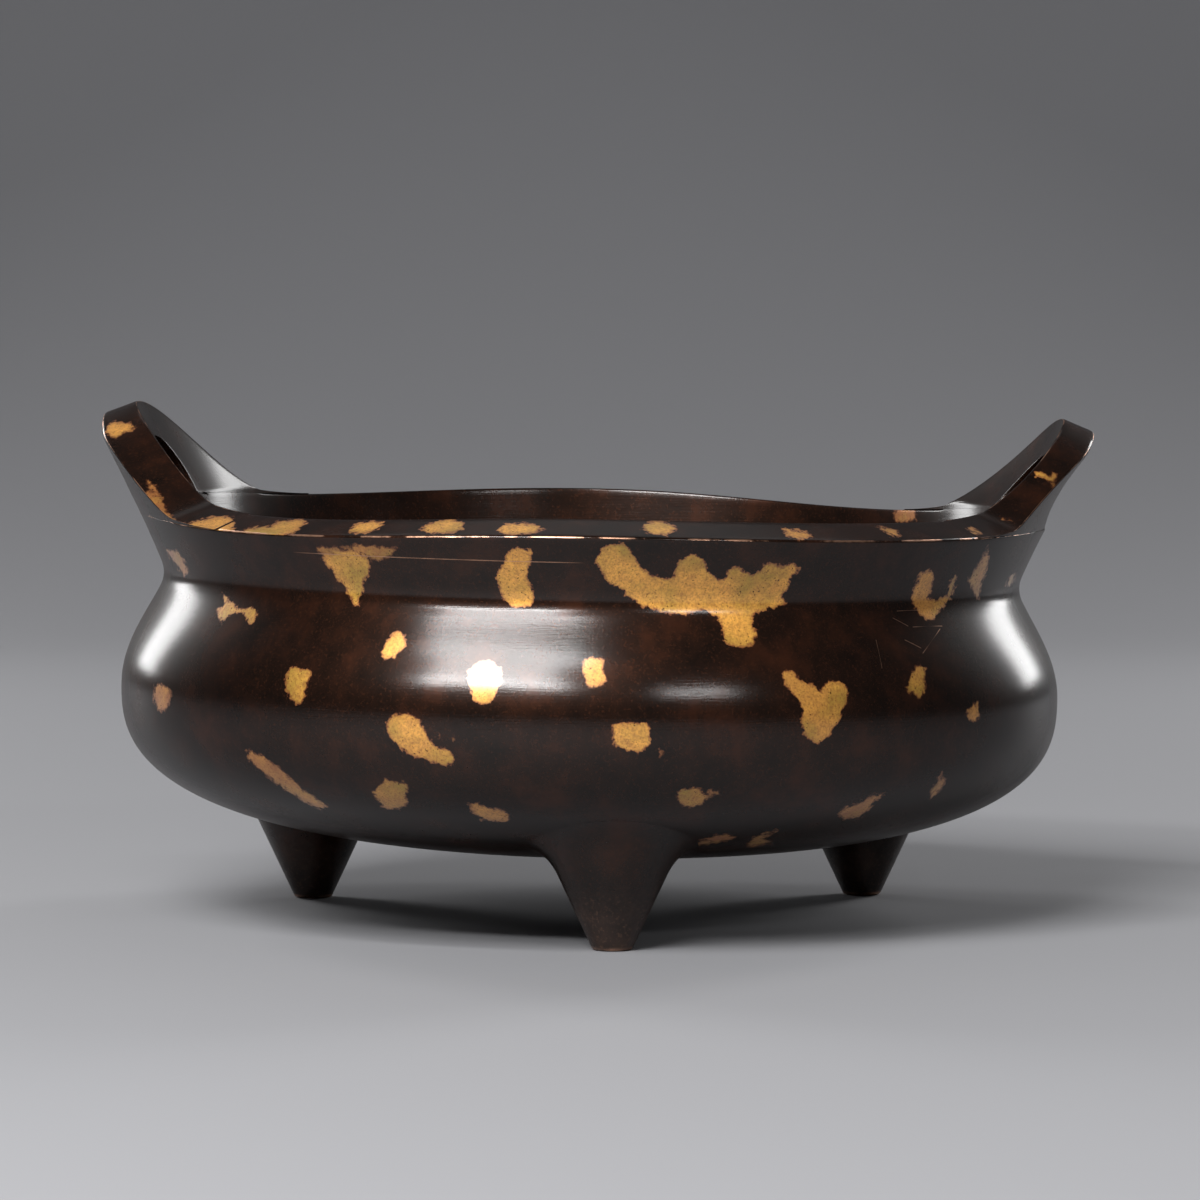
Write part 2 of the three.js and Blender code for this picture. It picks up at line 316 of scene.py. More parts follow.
def shoulderLine(belly, waist):
    corners = [
        (belly, bellyHeight),
        (belly, bellyHeight + bowlValues["shoulderUpright"]),
        (waist + bowlValues["waistInward"], waistHeight - bowlValues["waistBelow"]),
        (waist, waistHeight),
    ]
    points = []
    for index in range(1, bowlValues["shoulderSteps"] + 1):
        share = index / bowlValues["shoulderSteps"]
        weights = [(1 - share) ** 3, 3 * share * (1 - share) ** 2, 3 * share**2 * (1 - share), share**3]
        radius = sum(weight * corner[0] for weight, corner in zip(weights, corners))
        height = sum(weight * corner[1] for weight, corner in zip(weights, corners))
        points.append((radius, height))
    return points


# Points after start on the soft bend round a corner, up to and with end
def bend(start, corner, end, steps):
    points = []
    for index in range(1, steps + 1):
        share = index / steps
        points.append(
            tuple(
                a * (1 - share) ** 2 + 2 * b * share * (1 - share) + c * share**2
                for a, b, c in zip(start, corner, end)
            )
        )
    return points


# The lip's edges stay crisp where an ear's leg stands flush on them
def lipRound(angle):
    flush = bowlValues["flush"]
    covered = 0.0
    for ear in earValues["ears"].values():
        away = abs(angleFromEar(angle, ear))
        hole = math.asin(earValues["holeHalfWidth"] / lipInnerRadius)
        risen = earValues["rise"] * earShare(away, ear)
        onLeg = smoothStep(hole - flush["margin"], hole, away)
        covered = max(covered, onLeg * smoothStep(flush["from"], flush["to"], risen))
    return mix(bowlValues["edgeRound"], flush["round"], covered)


# Points after low on a face, up to and with high
def climb(face, low, high, rows):
    heights = [mix(low, high, index / rows) for index in range(1, rows + 1)]
    return [(face(height), height) for height in heights]


# From just above the waist outside, over the lip and down to the waist inside
def upperProfile(angle):
    top = plainLipHeight(angle)
    outerTop = outerCrestHeight(top)
    rounding = lipRound(angle)
    outerEdge = (outerRadius(outerTop), outerTop)
    innerEdge = (innerRadius(top), top)
    width = math.dist(outerEdge, innerEdge)
    lipStart = [mix(a, b, rounding / width) for a, b in zip(outerEdge, innerEdge)]
    lipEnd = [mix(b, a, rounding / width) for a, b in zip(outerEdge, innerEdge)]
    neckStart, neckRows = waistHeight + bowlValues["waistRound"], bowlValues["neckRows"]
    points = climb(outerRadius, neckStart, outerTop - rounding, neckRows)
    points += bend(points[-1], outerEdge, lipStart, bowlValues["roundRows"])
    for index in range(1, bowlValues["lipRows"] + 1):
        share = index / bowlValues["lipRows"]
        points.append(tuple(mix(a, b, share) for a, b in zip(lipStart, lipEnd)))
    innerStart = (innerRadius(top - rounding), top - rounding)
    points += bend(points[-1], innerEdge, innerStart, bowlValues["roundRows"])
    return points + climb(innerRadius, top - rounding, neckStart, neckRows)[:-1]


# From the axis up to just above the waist, whose corner is softened
def belowWaist(radius, bottom, waist, face, step):
    line = bellyLine(radius, bottom) + shoulderLine(radius, waist)
    stop = waistHeight - bowlValues["waistRound"]
    points = evenly([point for point in line if point[1] <= stop], step)
    above = waistHeight + bowlValues["waistRound"]
    return points + bend(points[-1], (waist, waistHeight), (face(above), above), bowlValues["waistRows"])


def moveVertices(piece, places):
    flat = np.array(places, dtype=np.float32).ravel()
    piece.data.vertices.foreach_set("co", flat)
    piece.data.update()


# Three numbers for every item of a mesh layer
def readThrees(items, key):
    values = np.empty(len(items) * 3, dtype=np.float32)
    items.foreach_get(key, values)
    return values.reshape(-1, 3).astype(float)


def vertexPlaces(piece):
    return readThrees(piece.data.vertices, "co")


def vertexRows(piece):
    rows = np.empty(len(piece.data.vertices), dtype=np.int32)
    piece.data.attributes["row"].data.foreach_get("value", rows)
    return rows


def standPoint(point):
    return standing @ Vector(point)


# Places in mm of a spun piece once the rows of a profile follow the profile of their own angle
def reshapedPlaces(piece, centre, profileAt, rowCount, firstRow=0):
    places = vertexPlaces(piece) / mm
    known = {}
    for index, (row, place) in enumerate(zip(vertexRows(piece) - firstRow, places)):
        if 0 <= row < rowCount:
            angle = math.atan2(place[1] - centre[1], place[0] - centre[0])
            key = round(angle, 5)
            if key not in known:
                known[key] = profileAt(angle)
            radius, height = known[key][row]
            across = (centre[0] + radius * math.cos(angle), centre[1] + radius * math.sin(angle))
            places[index] = (*across, height)
    return places


# The bowl, and how many rows its outside has below the upper profile
def makeBowl():
    belly, wall, low = bowlValues["bellyRadius"], bowlValues["wall"], bowlValues["undersideHeight"]
    outside = belowWaist(belly, low, waistRadius, outerRadius, bowlValues["outsideStep"])
    inside = belowWaist(
        belly - wall, low + bowlValues["floor"], waistRadius - wall, innerRadius, bowlValues["insideStep"]
    )
    upper = upperProfile(math.pi / 2)
    profile = outside + upper + inside[::-1]
    piece = drawSpun("bowlShell", profile, (0, 0), bowlValues["columns"])
    places = reshapedPlaces(piece, (0, 0), upperProfile, len(upper), len(outside))
    moveVertices(piece, np.array([standPoint(place) for place in places]) * mm)
    return piece, len(outside)


# Ears: a strap swept along the arch, between the hole's outline and the crest


def sillHeight(angle, radius):
    return plainLipHeight(angle) - (radius - lipInnerRadius) * lipSlope


# Angle and height where a line along the hole meets the ear's inner or outer face
def facePoint(face, across, above):
    tilt = math.radians(earValues["holeTilt"])
    centre = lipHeight + earValues["holeCentreAboveLip"]
    start = innerRadius(centre)
    along = 0.0
    for _ in range(rounds["holeFace"]):
        height = centre + above * math.cos(tilt) - along * math.sin(tilt)
        out = math.sqrt(face(height) ** 2 - across**2)
        along = (out - start - above * math.sin(tilt)) / math.cos(tilt)
    return math.atan2(across, out), height


# How far below the hole's centre its upright side meets the lip
def sillDrop(face, ear, side):
    base = earDirection(ear)
    low, high = earValues["dropRange"]
    for _ in range(rounds["holeSill"]):
        middle = (low + high) / 2
        angle, height = facePoint(face, earValues["holeHalfWidth"], middle)
        if height > sillHeight(base + side * angle, face(height)):
            high = middle
        else:
            low = middle
    return high


def holeOutline(face, share, drop):
    rise = earValues["rise"] - earValues["crown"] - earValues["holeCentreAboveLip"]
    archShare = earValues["archShare"]
    if share < archShare:
        turn = math.pi / 2 * share / archShare
        return facePoint(face, earValues["holeHalfWidth"] * math.sin(turn), rise * math.cos(turn))
    return facePoint(face, earValues["holeHalfWidth"], drop * (share - archShare) / (1 - archShare))


# Points on one face, from the hole's outline to the crest
def faceLine(face, ear, side, low, high):
    base = earDirection(ear)
    lifts = [height - sillHeight(base + side * angle, face(height)) for angle, height in (low, high)]
    points = []
    for index in range(earValues["faceSteps"] + 1):
        share = index / earValues["faceSteps"]
        angle = base + side * mix(low[0], high[0], share)
        height = mix(low[1], high[1], share)
        for _ in range(rounds["faceLine"]):
            height = mix(lifts[0], lifts[1], share) + sillHeight(angle, face(height))
        radius = face(height)
        sway = earValues["sway"] * max(0.0, height - lipHeight) / earValues["rise"]
        points.append(Vector((radius * math.cos(angle) + sway, radius * math.sin(angle), height)))
    return points


def straightLine(start, end):
    steps = earValues["edgeSteps"]
    return [start.lerp(end, index / steps) for index in range(steps + 1)]


# Joins lines end to end in a closed ring, each corner softened
def roundedRing(lines):
    size = earValues["edgeRound"]
    corners = [line[0] for line in lines]
    trimmed = []
    for line in lines:
        first = line[0] + (line[1] - line[0]).normalized() * size
        last = line[-1] + (line[-2] - line[-1]).normalized() * size
        trimmed.append([first, *line[1:-1], last])
    ring = []
    for index, line in enumerate(trimmed):
        following = trimmed[(index + 1) % len(trimmed)]
        corner = corners[(index + 1) % len(trimmed)]
        ring += line
        ring += [Vector(p) for p in bend(line[-1], corner, following[0], earValues["roundSteps"] + 1)[:-1]]
    return ring


# The outer and the inner face: radius by height
def earFaces(ear):
    return (
        lambda height: outerRadius(height, ear["slimming"]),
        lambda height: innerRadius(height, ear["slimming"]),
    )


def earSection(ear, along, drops):
    side = 1 if along >= 0 else -1
    share = abs(along)
    base = earDirection(ear)
    away = math.radians(ear["halfAngle"]) * earValues["footTo"] * earValues["strapEnd"] * share
    crest = plainLipHeight(base + side * away) + earValues["rise"] * earShare(away, ear)
    outerDrop, innerDrop = drops[side]
    outside, inside = earFaces(ear)
    outerLow = holeOutline(outside, share, outerDrop)
    innerLow = holeOutline(inside, share, innerDrop)
    outerTop = outerCrestHeight(crest, ear["slimming"])
    outer = faceLine(outside, ear, side, outerLow, (away, outerTop))
    inner = faceLine(inside, ear, side, innerLow, (away, crest))[::-1]
    lines = [outer, straightLine(outer[-1], inner[0]), inner, straightLine(inner[-1], outer[0])]
    return [standPoint(point) for point in roundedRing(lines)]


def makeEar(name, ear):
    drops = {side: [sillDrop(face, ear, side) for face in earFaces(ear)] for side in (-1, 1)}
    count = earValues["sections"]
    sections = [earSection(ear, 2 * index / count - 1, drops) for index in range(count + 1)]
    around = len(sections[0])
    deselect()
    bpy.ops.mesh.primitive_grid_add(x_subdivisions=count, y_subdivisions=around, size=1)
    piece = bpy.context.object
    piece.name = name
    places = vertexPlaces(piece)
    steps = [0] * len(places)
    for index, place in enumerate(places):
        section = round((place[0] + 0.5) * count)
        step = round((place[1] + 0.5) * around) % around
        places[index] = sections[section][step]
        steps[index] = step
    moveVertices(piece, places * mm)
    rows = piece.data.attributes.new("row", "INT", "POINT")
    rows.data.foreach_set("value", steps)
    editAll(piece)
    weld()
    bpy.ops.mesh.select_all(action="SELECT")
    bpy.ops.mesh.fill_holes(sides=0)
    setMode("OBJECT")
    return piece


# Feet: cones that open into the belly with a soft hollow

footValues = {
    "ringInset": 29.5,
    "ringTurn": 2.8,
    "soleRadius": 3.9,
    "soleRound": 0.7,
    "taper": 0.47,
    "hollowBelow": 5.5,
    "hollowOut": 4.5,
    "sunk": 1.2,
    "overlap": 0.05,
    "columns": 72,
    "soleRows": 4,
    "coneRows": 14,
    "hollowRows": 10,
    "feet": {
        "footFront": {"node": "foot_front", "angle": -90.0},
        "footRearRight": {"node": "foot_rear_right", "angle": 30.0},
        "footRearLeft": {"node": "foot_rear_left", "angle": 150.0},
    },
}


# Height of the leaning belly's underside over a point of the ground
def undersideAt(x, y):
    height = bowlValues["undersideHeight"]
    for _ in range(rounds["underside"]):
        ownX = x - bowlValues["offset"] + (bellyHeight - height) * math.sin(lean)
        share = min(math.hypot(ownX, y) / bowlValues["bellyRadius"], 0.999)
        power = bowlValues["undersideSquareness"]
        own = bellyHeight - bowlValues["bellyRise"] * (1 - share**power) ** (1 / power)
        height = own - ownX * math.sin(lean)
    return height


def footRadius(height):
    return footValues["soleRadius"] + footValues["taper"] * height


def footProfile(place, angle):
    meet = bowlValues["undersideHeight"]
    for _ in range(rounds["footMeet"]):
        radius = footRadius(meet)
        meet = undersideAt(place[0] + radius * math.cos(angle), place[1] + radius * math.sin(angle))
    sole, rounding = footValues["soleRadius"], footValues["soleRound"]
    low = meet - footValues["hollowBelow"]
    edge = footRadius(meet) + footValues["hollowOut"]
    top = undersideAt(place[0] + edge * math.cos(angle), place[1] + edge * math.sin(angle))
    top += footValues["overlap"]
    points = [(0.0, 0.0), (sole * 0.5, 0.0), (sole - rounding, 0.0)]
    points += bend(points[-1], (sole, 0.0), (footRadius(rounding), rounding), footValues["soleRows"])
    points += climb(footRadius, rounding, low, footValues["coneRows"])
    points += bend(points[-1], (footRadius(meet), meet), (edge, top), footValues["hollowRows"])
    sunk = footValues["sunk"]
    points += [(edge - sunk, top + sunk), (edge * 0.5, top + sunk), (0.0, top + sunk)]
    return points


def makeFoot(name, foot):
    ring = bowlValues["bellyRadius"] - footValues["ringInset"]
    turn = math.radians(foot["angle"] + footValues["ringTurn"])
    place = (ring * math.cos(turn), ring * math.sin(turn))
    profile = footProfile(place, 0.0)
    piece = drawSpun(name, profile, place, footValues["columns"])
    places = reshapedPlaces(piece, place, lambda angle: footProfile(place, angle), len(profile))
    top = vertexRows(piece) == len(profile) - 1
    places[top, 2] = undersideAt(*place) + footValues["sunk"]
    moveVertices(piece, places * mm)
    return piece


# Panel let into the underside: a sunken ground inside a raised border
panelValues = {
    "width": 38.5,
    "depth": 40.0,
    "thickness": 2.6,
    "border": 2.4,
    "groundDepth": 1.1,
    "edgeRound": 0.35,
    "play": 0.05,
}


def standMesh(piece):
    places = vertexPlaces(piece) / mm
    moveVertices(piece, np.array([standPoint(place) for place in places]) * mm)


def addBlock(name, width, depth, low, high):
    deselect()
    bpy.ops.mesh.primitive_cube_add(size=1)
    piece = bpy.context.object
    piece.name = name
    places = vertexPlaces(piece)
    places = places * (width, depth, high - low) + (0, 0, (low + high) / 2)
    moveVertices(piece, places * mm)
    return piece


def cutWith(piece, cutter):
    pick(piece)
    cut = piece.modifiers.new("cut", "BOOLEAN")
    cut.operation = "DIFFERENCE"
    cut.solver = "EXACT"
    cut.object = cutter
    bpy.ops.object.modifier_apply(modifier=cut.name)
    bpy.data.objects.remove(cutter)


def makePanel():
    low = bowlValues["undersideHeight"]
    high = low + panelValues["thickness"]
    piece = addBlock("markPanel", panelValues["width"], panelValues["depth"], low, high)
    pick(piece)
    setMode("EDIT")
    bpy.ops.mesh.select_all(action="DESELECT")
    setMode("OBJECT")
    for face in piece.data.polygons:
        face.select = face.normal.z < -0.5
    setMode("EDIT")
    bpy.ops.mesh.inset(thickness=panelValues["border"] * mm)
    bpy.ops.mesh.extrude_region_move(
        TRANSFORM_OT_translate={"value": (0, 0, panelValues["groundDepth"] * mm)}
    )
    setMode("OBJECT")
    soften = piece.modifiers.new("soften", "BEVEL")
    soften.width = panelValues["edgeRound"] * mm
    soften.segments = 3
    bpy.ops.object.modifier_apply(modifier=soften.name)
    standMesh(piece)
    return piece


def makeRecess():
    play = 2 * panelValues["play"]
    top = bowlValues["undersideHeight"] + panelValues["thickness"] + panelValues["play"]
    block = addBlock("recess", panelValues["width"] + play, panelValues["depth"] + play, 0, top)
    standMesh(block)
    return block


bowl, outsideRows = makeBowl()
cutWith(bowl, makeRecess())
finishMesh(bowl)
print("bowl made", len(bowl.data.polygons))
ears = {name: makeEar(name, ear) for name, ear in earValues["ears"].items()}
for piece in ears.values():
    finishMesh(piece)
print("ears made")
feet = {name: makeFoot(name, foot) for name, foot in footValues["feet"].items()}
for piece in feet.values():
    finishMesh(piece)
print("feet made")
markPanel = makePanel()
finishMesh(markPanel)
print("panel made")


# Gilding, by the surface it lies on: how rich each splash's gold is, and its outline in picture points
splashes = {
    "outside": {
        "bigPatch": (1.0, [(593, 562), (598, 551), (608, 544), (621, 542), (630, 548), (635, 558),
            (643, 567), (653, 576), (666, 578), (674, 577), (675, 567), (683, 557), (693, 553), (703, 557),
            (707, 567), (716, 578), (725, 579), (728, 569), (737, 566), (746, 572), (752, 574), (760, 571),
            (764, 563), (772, 562), (781, 567), (790, 562), (801, 568), (791, 579), (789, 589), (783, 595),
            (788, 603), (776, 608), (762, 611), (754, 615), (753, 625), (758, 633), (754, 645), (744, 648),
            (733, 648), (723, 643), (722, 628), (719, 619), (710, 614), (701, 610), (690, 614), (675, 615),
            (661, 612), (646, 609), (637, 604), (631, 598), (625, 600), (624, 592), (614, 585), (606, 583),
            (604, 574)]),
        "forkedLeaf": (0.75, [(780, 673), (786, 670), (793, 671), (800, 678), (808, 683), (816, 684),
            (820, 691), (824, 683), (832, 680), (841, 681), (849, 687), (848, 698), (844, 710), (838, 723),
            (830, 735), (820, 746), (814, 743), (804, 737), (801, 723), (802, 712), (797, 700), (788, 688),
            (782, 683)]),
        "funnel": (0.85, [(322, 559), (332, 552), (347, 549), (359, 552), (370, 560), (371, 574),
            (364, 581), (364, 592), (360, 599), (358, 607), (353, 606), (350, 599), (346, 595), (344, 584),
            (337, 582), (334, 572), (325, 565)]),
        "funnelBrim": (0.15, [(315, 547), (362, 544), (398, 547), (394, 556), (374, 563), (369, 558),
            (347, 550), (322, 560)]),
        "column": (0.9, [(514, 547), (534, 548), (530, 563), (527, 576), (534, 591), (533, 605), (522, 608),
            (509, 607), (502, 596), (498, 586), (496, 578), (498, 569), (503, 563), (504, 556)]),
        "smallLeaf": (0.9, [(397, 629), (403, 633), (408, 643), (403, 650), (395, 658), (385, 661),
            (381, 657), (382, 647), (389, 637)]),
        "underLight": (0.9, [(481, 660), (495, 661), (504, 670), (503, 682), (498, 693), (492, 703),
            (481, 707), (474, 703), (470, 691), (466, 682), (467, 670)]),
        "tailedDrop": (0.8, [(392, 716), (407, 712), (417, 717), (424, 727), (433, 743), (440, 748),
            (450, 749), (456, 758), (453, 765), (442, 767), (428, 761), (413, 756), (398, 748), (390, 738),
            (384, 726)]),
        "tailedDropSpot": (0.2, [(436, 732), (442, 732), (443, 738), (437, 739)]),
        "tailedDropFarSpot": (0.2, [(450, 737), (456, 738), (455, 744), (449, 742)]),
        "maple": (0.4, [(371, 792), (381, 783), (386, 777), (394, 782), (403, 780), (411, 786), (407, 793),
            (408, 804), (398, 811), (385, 810), (378, 803)]),
        "lowLens": (0.4, [(466, 803), (476, 802), (490, 807), (504, 809), (512, 815), (509, 822),
            (497, 823), (482, 821), (472, 813)]),
        "leftStreak": (0.35, [(244, 748), (252, 749), (266, 757), (284, 770), (300, 786), (318, 797),
            (330, 808), (322, 811), (306, 804), (290, 794), (274, 783), (258, 770), (247, 758)]),
        "smallSquare": (0.8, [(584, 658), (595, 656), (604, 658), (604, 672), (608, 679), (604, 686),
            (590, 688), (584, 680), (581, 668)]),
        "cushion": (0.8, [(611, 727), (619, 722), (631, 723), (641, 720), (650, 722), (651, 732),
            (651, 744), (646, 750), (634, 753), (619, 750), (610, 742), (613, 734)]),
        "cushionSpot": (0.2, [(657, 749), (664, 750), (665, 756), (658, 758)]),
        "lowEgg": (0.5, [(675, 797), (680, 789), (693, 786), (704, 789), (706, 797), (703, 805), (693, 809),
            (682, 808)]),
        "lowEggTail": (0.15, [(704, 789), (725, 788), (718, 795), (706, 801)]),
        "lowStrokeLeft": (0.2, [(688, 847), (700, 840), (716, 834), (729, 832), (737, 838), (726, 842),
            (706, 846)]),
        "lowStrokeRight": (0.2, [(745, 846), (752, 837), (765, 832), (779, 828), (777, 833), (765, 838),
            (776, 843), (752, 848)]),
        "hook": (0.7, [(910, 598), (913, 587), (920, 573), (930, 568), (935, 574), (933, 587), (929, 598),
            (937, 599), (947, 594), (949, 582), (956, 574), (956, 587), (952, 599), (942, 609), (933, 621),
            (923, 619), (915, 609)]),
        "hookNeighbour": (0.3, [(967, 579), (974, 570), (982, 555), (988, 545), (990, 560), (988, 570),
            (983, 582), (979, 604), (973, 594)]),
        "edgeOfNeck": (0.1, [(1008, 577), (1016, 570), (1016, 581), (1010, 587), (1005, 586)]),
        "amber": (0.45, [(905, 688), (909, 678), (915, 666), (921, 663), (928, 673), (925, 680), (926, 693),
            (920, 700), (912, 696)]),
        "amberBead": (0.9, [(923, 667), (926, 666), (928, 669), (926, 672), (923, 671)]),
        "littleLeaf": (0.5, [(965, 709), (971, 706), (976, 696), (981, 707), (981, 717), (974, 723),
            (967, 719)]),
        "rightSliver": (0.2, [(928, 800), (930, 789), (937, 779), (940, 769), (946, 778), (945, 786),
            (937, 796)]),
        "rightBird": (0.25, [(836, 815), (846, 805), (861, 801), (873, 794), (888, 789), (882, 797),
            (873, 806), (861, 818), (844, 821)]),
        "star": (0.6, [(216, 608), (224, 607), (222, 592), (231, 600), (240, 606), (252, 607), (259, 608),
            (257, 617), (253, 625), (246, 623), (245, 615), (238, 613), (230, 616), (220, 624),
            (217, 615)]),
        "leftBud": (0.85, [(284, 685), (287, 669), (295, 665), (302, 670), (311, 667), (313, 675),
            (306, 685), (306, 695), (302, 704), (295, 705), (289, 697)]),
        "leftCopper": (0.15, [(152, 690), (157, 682), (171, 686), (172, 700), (165, 714), (157, 711),
            (153, 700)]),
        "leftNeck": (0.25, [(165, 548), (178, 550), (186, 562), (190, 574), (184, 577), (176, 566),
            (168, 556)]),
    },
    "lip": {
        "lipBandCopper": (0.1, [(144, 478), (155, 482), (163, 497), (168, 510), (177, 520), (178, 533),
            (162, 524), (152, 508), (146, 495)]),
        "lipBand": (0.75, [(172, 521), (190, 523), (197, 520), (212, 516), (234, 516), (236, 530),
            (215, 536), (190, 535), (172, 530)]),
        "lipSecond": (0.75, [(240, 532), (252, 526), (270, 526), (280, 520), (302, 519), (309, 522),
            (295, 533), (282, 536), (250, 538)]),
        "lipThird": (0.85, [(346, 532), (355, 523), (372, 520), (385, 522), (383, 527), (370, 533),
            (355, 534)]),
        "lipFourth": (0.85, [(419, 529), (430, 522), (451, 518), (465, 522), (464, 530), (451, 534),
            (427, 534)]),
        "lipFifth": (0.95, [(496, 530), (503, 524), (520, 522), (538, 525), (546, 530), (532, 534),
            (503, 535)]),
        "lipSixth": (0.95, [(641, 529), (646, 522), (659, 520), (674, 524), (677, 530), (667, 536),
            (649, 535)]),
        "lipSeventh": (0.8, [(780, 528), (793, 528), (807, 531), (814, 537), (804, 540), (790, 539),
            (783, 533)]),
        "lipEighth": (0.7, [(875, 525), (885, 526), (899, 531), (901, 537), (893, 538), (883, 531)]),
        "lipNinth": (0.5, [(965, 526), (974, 527), (984, 534), (981, 536), (971, 535)]),
        "lipThread": (0.7, [(998, 517), (1018, 521), (1017, 524), (1003, 521)]),
        "rightArmGold": (0.9, [(1033, 470), (1045, 470), (1047, 479), (1035, 479)]),
        "rightArmDim": (0.2, [(1050, 470), (1060, 475), (1053, 489), (1048, 483)]),
        "leftArmGold": (0.6, [(105, 432), (107, 421), (127, 421), (137, 425), (135, 431), (122, 434),
            (116, 440), (110, 441)]),
    },
    "farWall": {
        "farWallCopper": (0.1, [(894, 506), (917, 507), (917, 521), (900, 524), (893, 520)]),
    },
}


# Where points in metres fall in the photograph
def pixelPlaces(places):
    away = places / mm - np.array(photoCamera["place"])
    forward = away[:, 1] * math.cos(photoTilt) - away[:, 2] * math.sin(photoTilt)
    up = away[:, 1] * math.sin(photoTilt) + away[:, 2] * math.cos(photoTilt)
    across = photoHalf + photoFocal * away[:, 0] / forward
    down = photoHalf - photoFocal * up / forward
    return np.stack([across, down], axis=1)


# Distance to an outline in picture points, positive inside it
def depthInside(points, outline):
    best = np.full(len(points), 1e9)
    inside = np.zeros(len(points), dtype=bool)
    corners = np.array(outline, dtype=float)
    for start, end in zip(corners, np.roll(corners, -1, axis=0)):
        edge = end - start
        away = points - start
        share = np.clip((away @ edge) / (edge @ edge), 0, 1)
        best = np.minimum(best, np.linalg.norm(away - share[:, None] * edge, axis=1))
        crosses = (start[1] > points[:, 1]) != (end[1] > points[:, 1])
        slope = edge[0] / edge[1] if edge[1] else 0.0
        inside ^= crosses & (points[:, 0] < start[0] + (points[:, 1] - start[1]) * slope)
    return np.where(inside, best, -best)


# Whether each point lies on the named surface and can be seen there. The limits are parts of the
# unit normal: outwards from the axis, towards the camera and up.
def onSurface(places, normals, where):
    axis = np.stack([places[:, 0], places[:, 1]], axis=1)
    axis /= np.maximum(np.linalg.norm(axis, axis=1, keepdims=True), 1e-9)
    outward = (normals[:, :2] * axis).sum(axis=1)
    towards = -normals[:, 1]
    if where == "outside":
        return (outward > 0.2) & (towards > 0.02) & (normals[:, 2] < 0.75)
    if where == "lip":
        return (normals[:, 2] > 0.25) & (outward > -0.6) & (places[:, 1] < 0.01)
    return (outward < -0.3) & (places[:, 1] > 0)  # the far wall, inside


# Splashes where the photograph doesn't reach, in degrees round from the front and in mm:
# azimuth, height, across, tall, turn, tone
unseenSplashes = {
    "rightHigh": (99, 68, 5.5, 8.5, 20, 0.8),
    "rightLow": (101, 40, 9, 4.5, -25, 0.5),
    "rightBead": (112, 57, 3, 3.6, 0, 0.9),
    "backRightBroad": (126, 63, 13, 6, 12, 0.9),
    "backRightDrop": (132, 51, 4, 8, -8, 0.8),
    "backRightLow": (118, 28, 7.5, 3.5, -18, 0.3),
    "backMiddle": (158, 72, 4.2, 7, 10, 0.85),
    "backOval": (166, 46, 6.5, 5, 30, 0.6),
    "backSmall": (150, 36, 3, 2.6, 0, 0.4),
    "backTall": (187, 60, 4.5, 9, -14, 0.9),
    "backLow": (192, 30, 9, 3.2, 15, 0.3),
    "backLeftBroad": (214, 73, 11, 5, -6, 0.9),
    "backLeftTail": (220, 61, 3.6, 8, 12, 0.75),
    "backLeftRound": (236, 44, 5, 5.5, 0, 0.7),
    "backLeftBead": (226, 33, 2.6, 2.2, 0, 0.5),
    "leftHigh": (258, 66, 6.5, 4.5, -20, 0.7),
    "leftLow": (266, 35, 5, 8, 35, 0.4),
}
# azimuth, across, tall, tone
unseenLip = {
    "backRight": (118, 8, 2.8, 0.8),
    "backRightNext": (143, 5.5, 2.5, 0.85),
    "back": (172, 7, 3, 0.9),
    "backNext": (197, 4.5, 2.6, 0.8),
    "backLeft": (222, 7.5, 2.9, 0.75),
    "backLeftNext": (243, 5, 2.4, 0.7),
}
# Depth in mm at which a point counts as far from every splash
farDepth = 6.0


# Depth inside a lobed spot, in mm
def blobDepth(sideways, up, azimuth, across, tall, turn=0):
    turn = math.radians(turn)
    share = (sideways * math.cos(turn) + up * math.sin(turn)) / across
    rise = (up * math.cos(turn) - sideways * math.sin(turn)) / tall
    around = np.arctan2(rise, share)
    shift = math.radians(azimuth)
    lobes = 1 + 0.2 * np.sin(3 * around + 5 * shift) + 0.12 * np.sin(5 * around + 11 * shift)
    return (lobes - np.hypot(share, rise)) * min(across, tall)


def unseenDepths(places, normals):
    spots = places / mm
    azimuths = np.arctan2(spots[:, 0], -spots[:, 1])
    radii = np.hypot(spots[:, 0], spots[:, 1])
    outward = (normals[:, 0] * spots[:, 0] + normals[:, 1] * spots[:, 1]) / np.maximum(radii, 1)
    lipMiddle = lipOuterRadius - bowlValues["lipThickness"] / 2
    onLip = (normals[:, 2] > 0.5) & (spots[:, 2] > waistHeight)

    def past(azimuth):
        away = azimuths - math.radians(azimuth)
        return np.arctan2(np.sin(away), np.cos(away)) * radii

    found = []
    for azimuth, height, across, tall, turn, tone in unseenSplashes.values():
        own = blobDepth(past(azimuth), spots[:, 2] - height, azimuth, across, tall, turn)
        found.append((np.where(outward > 0.1, own, -farDepth), tone))
    for azimuth, across, tall, tone in unseenLip.values():
        own = blobDepth(past(azimuth), radii - lipMiddle, azimuth, across, tall)
        found.append((np.where(onLip, own, -farDepth), tone))
    return found


def addLayer(piece, name, values):
    layer = piece.data.attributes.new(name, "FLOAT", "POINT")
    layer.data.foreach_set("value", values.astype(np.float32))


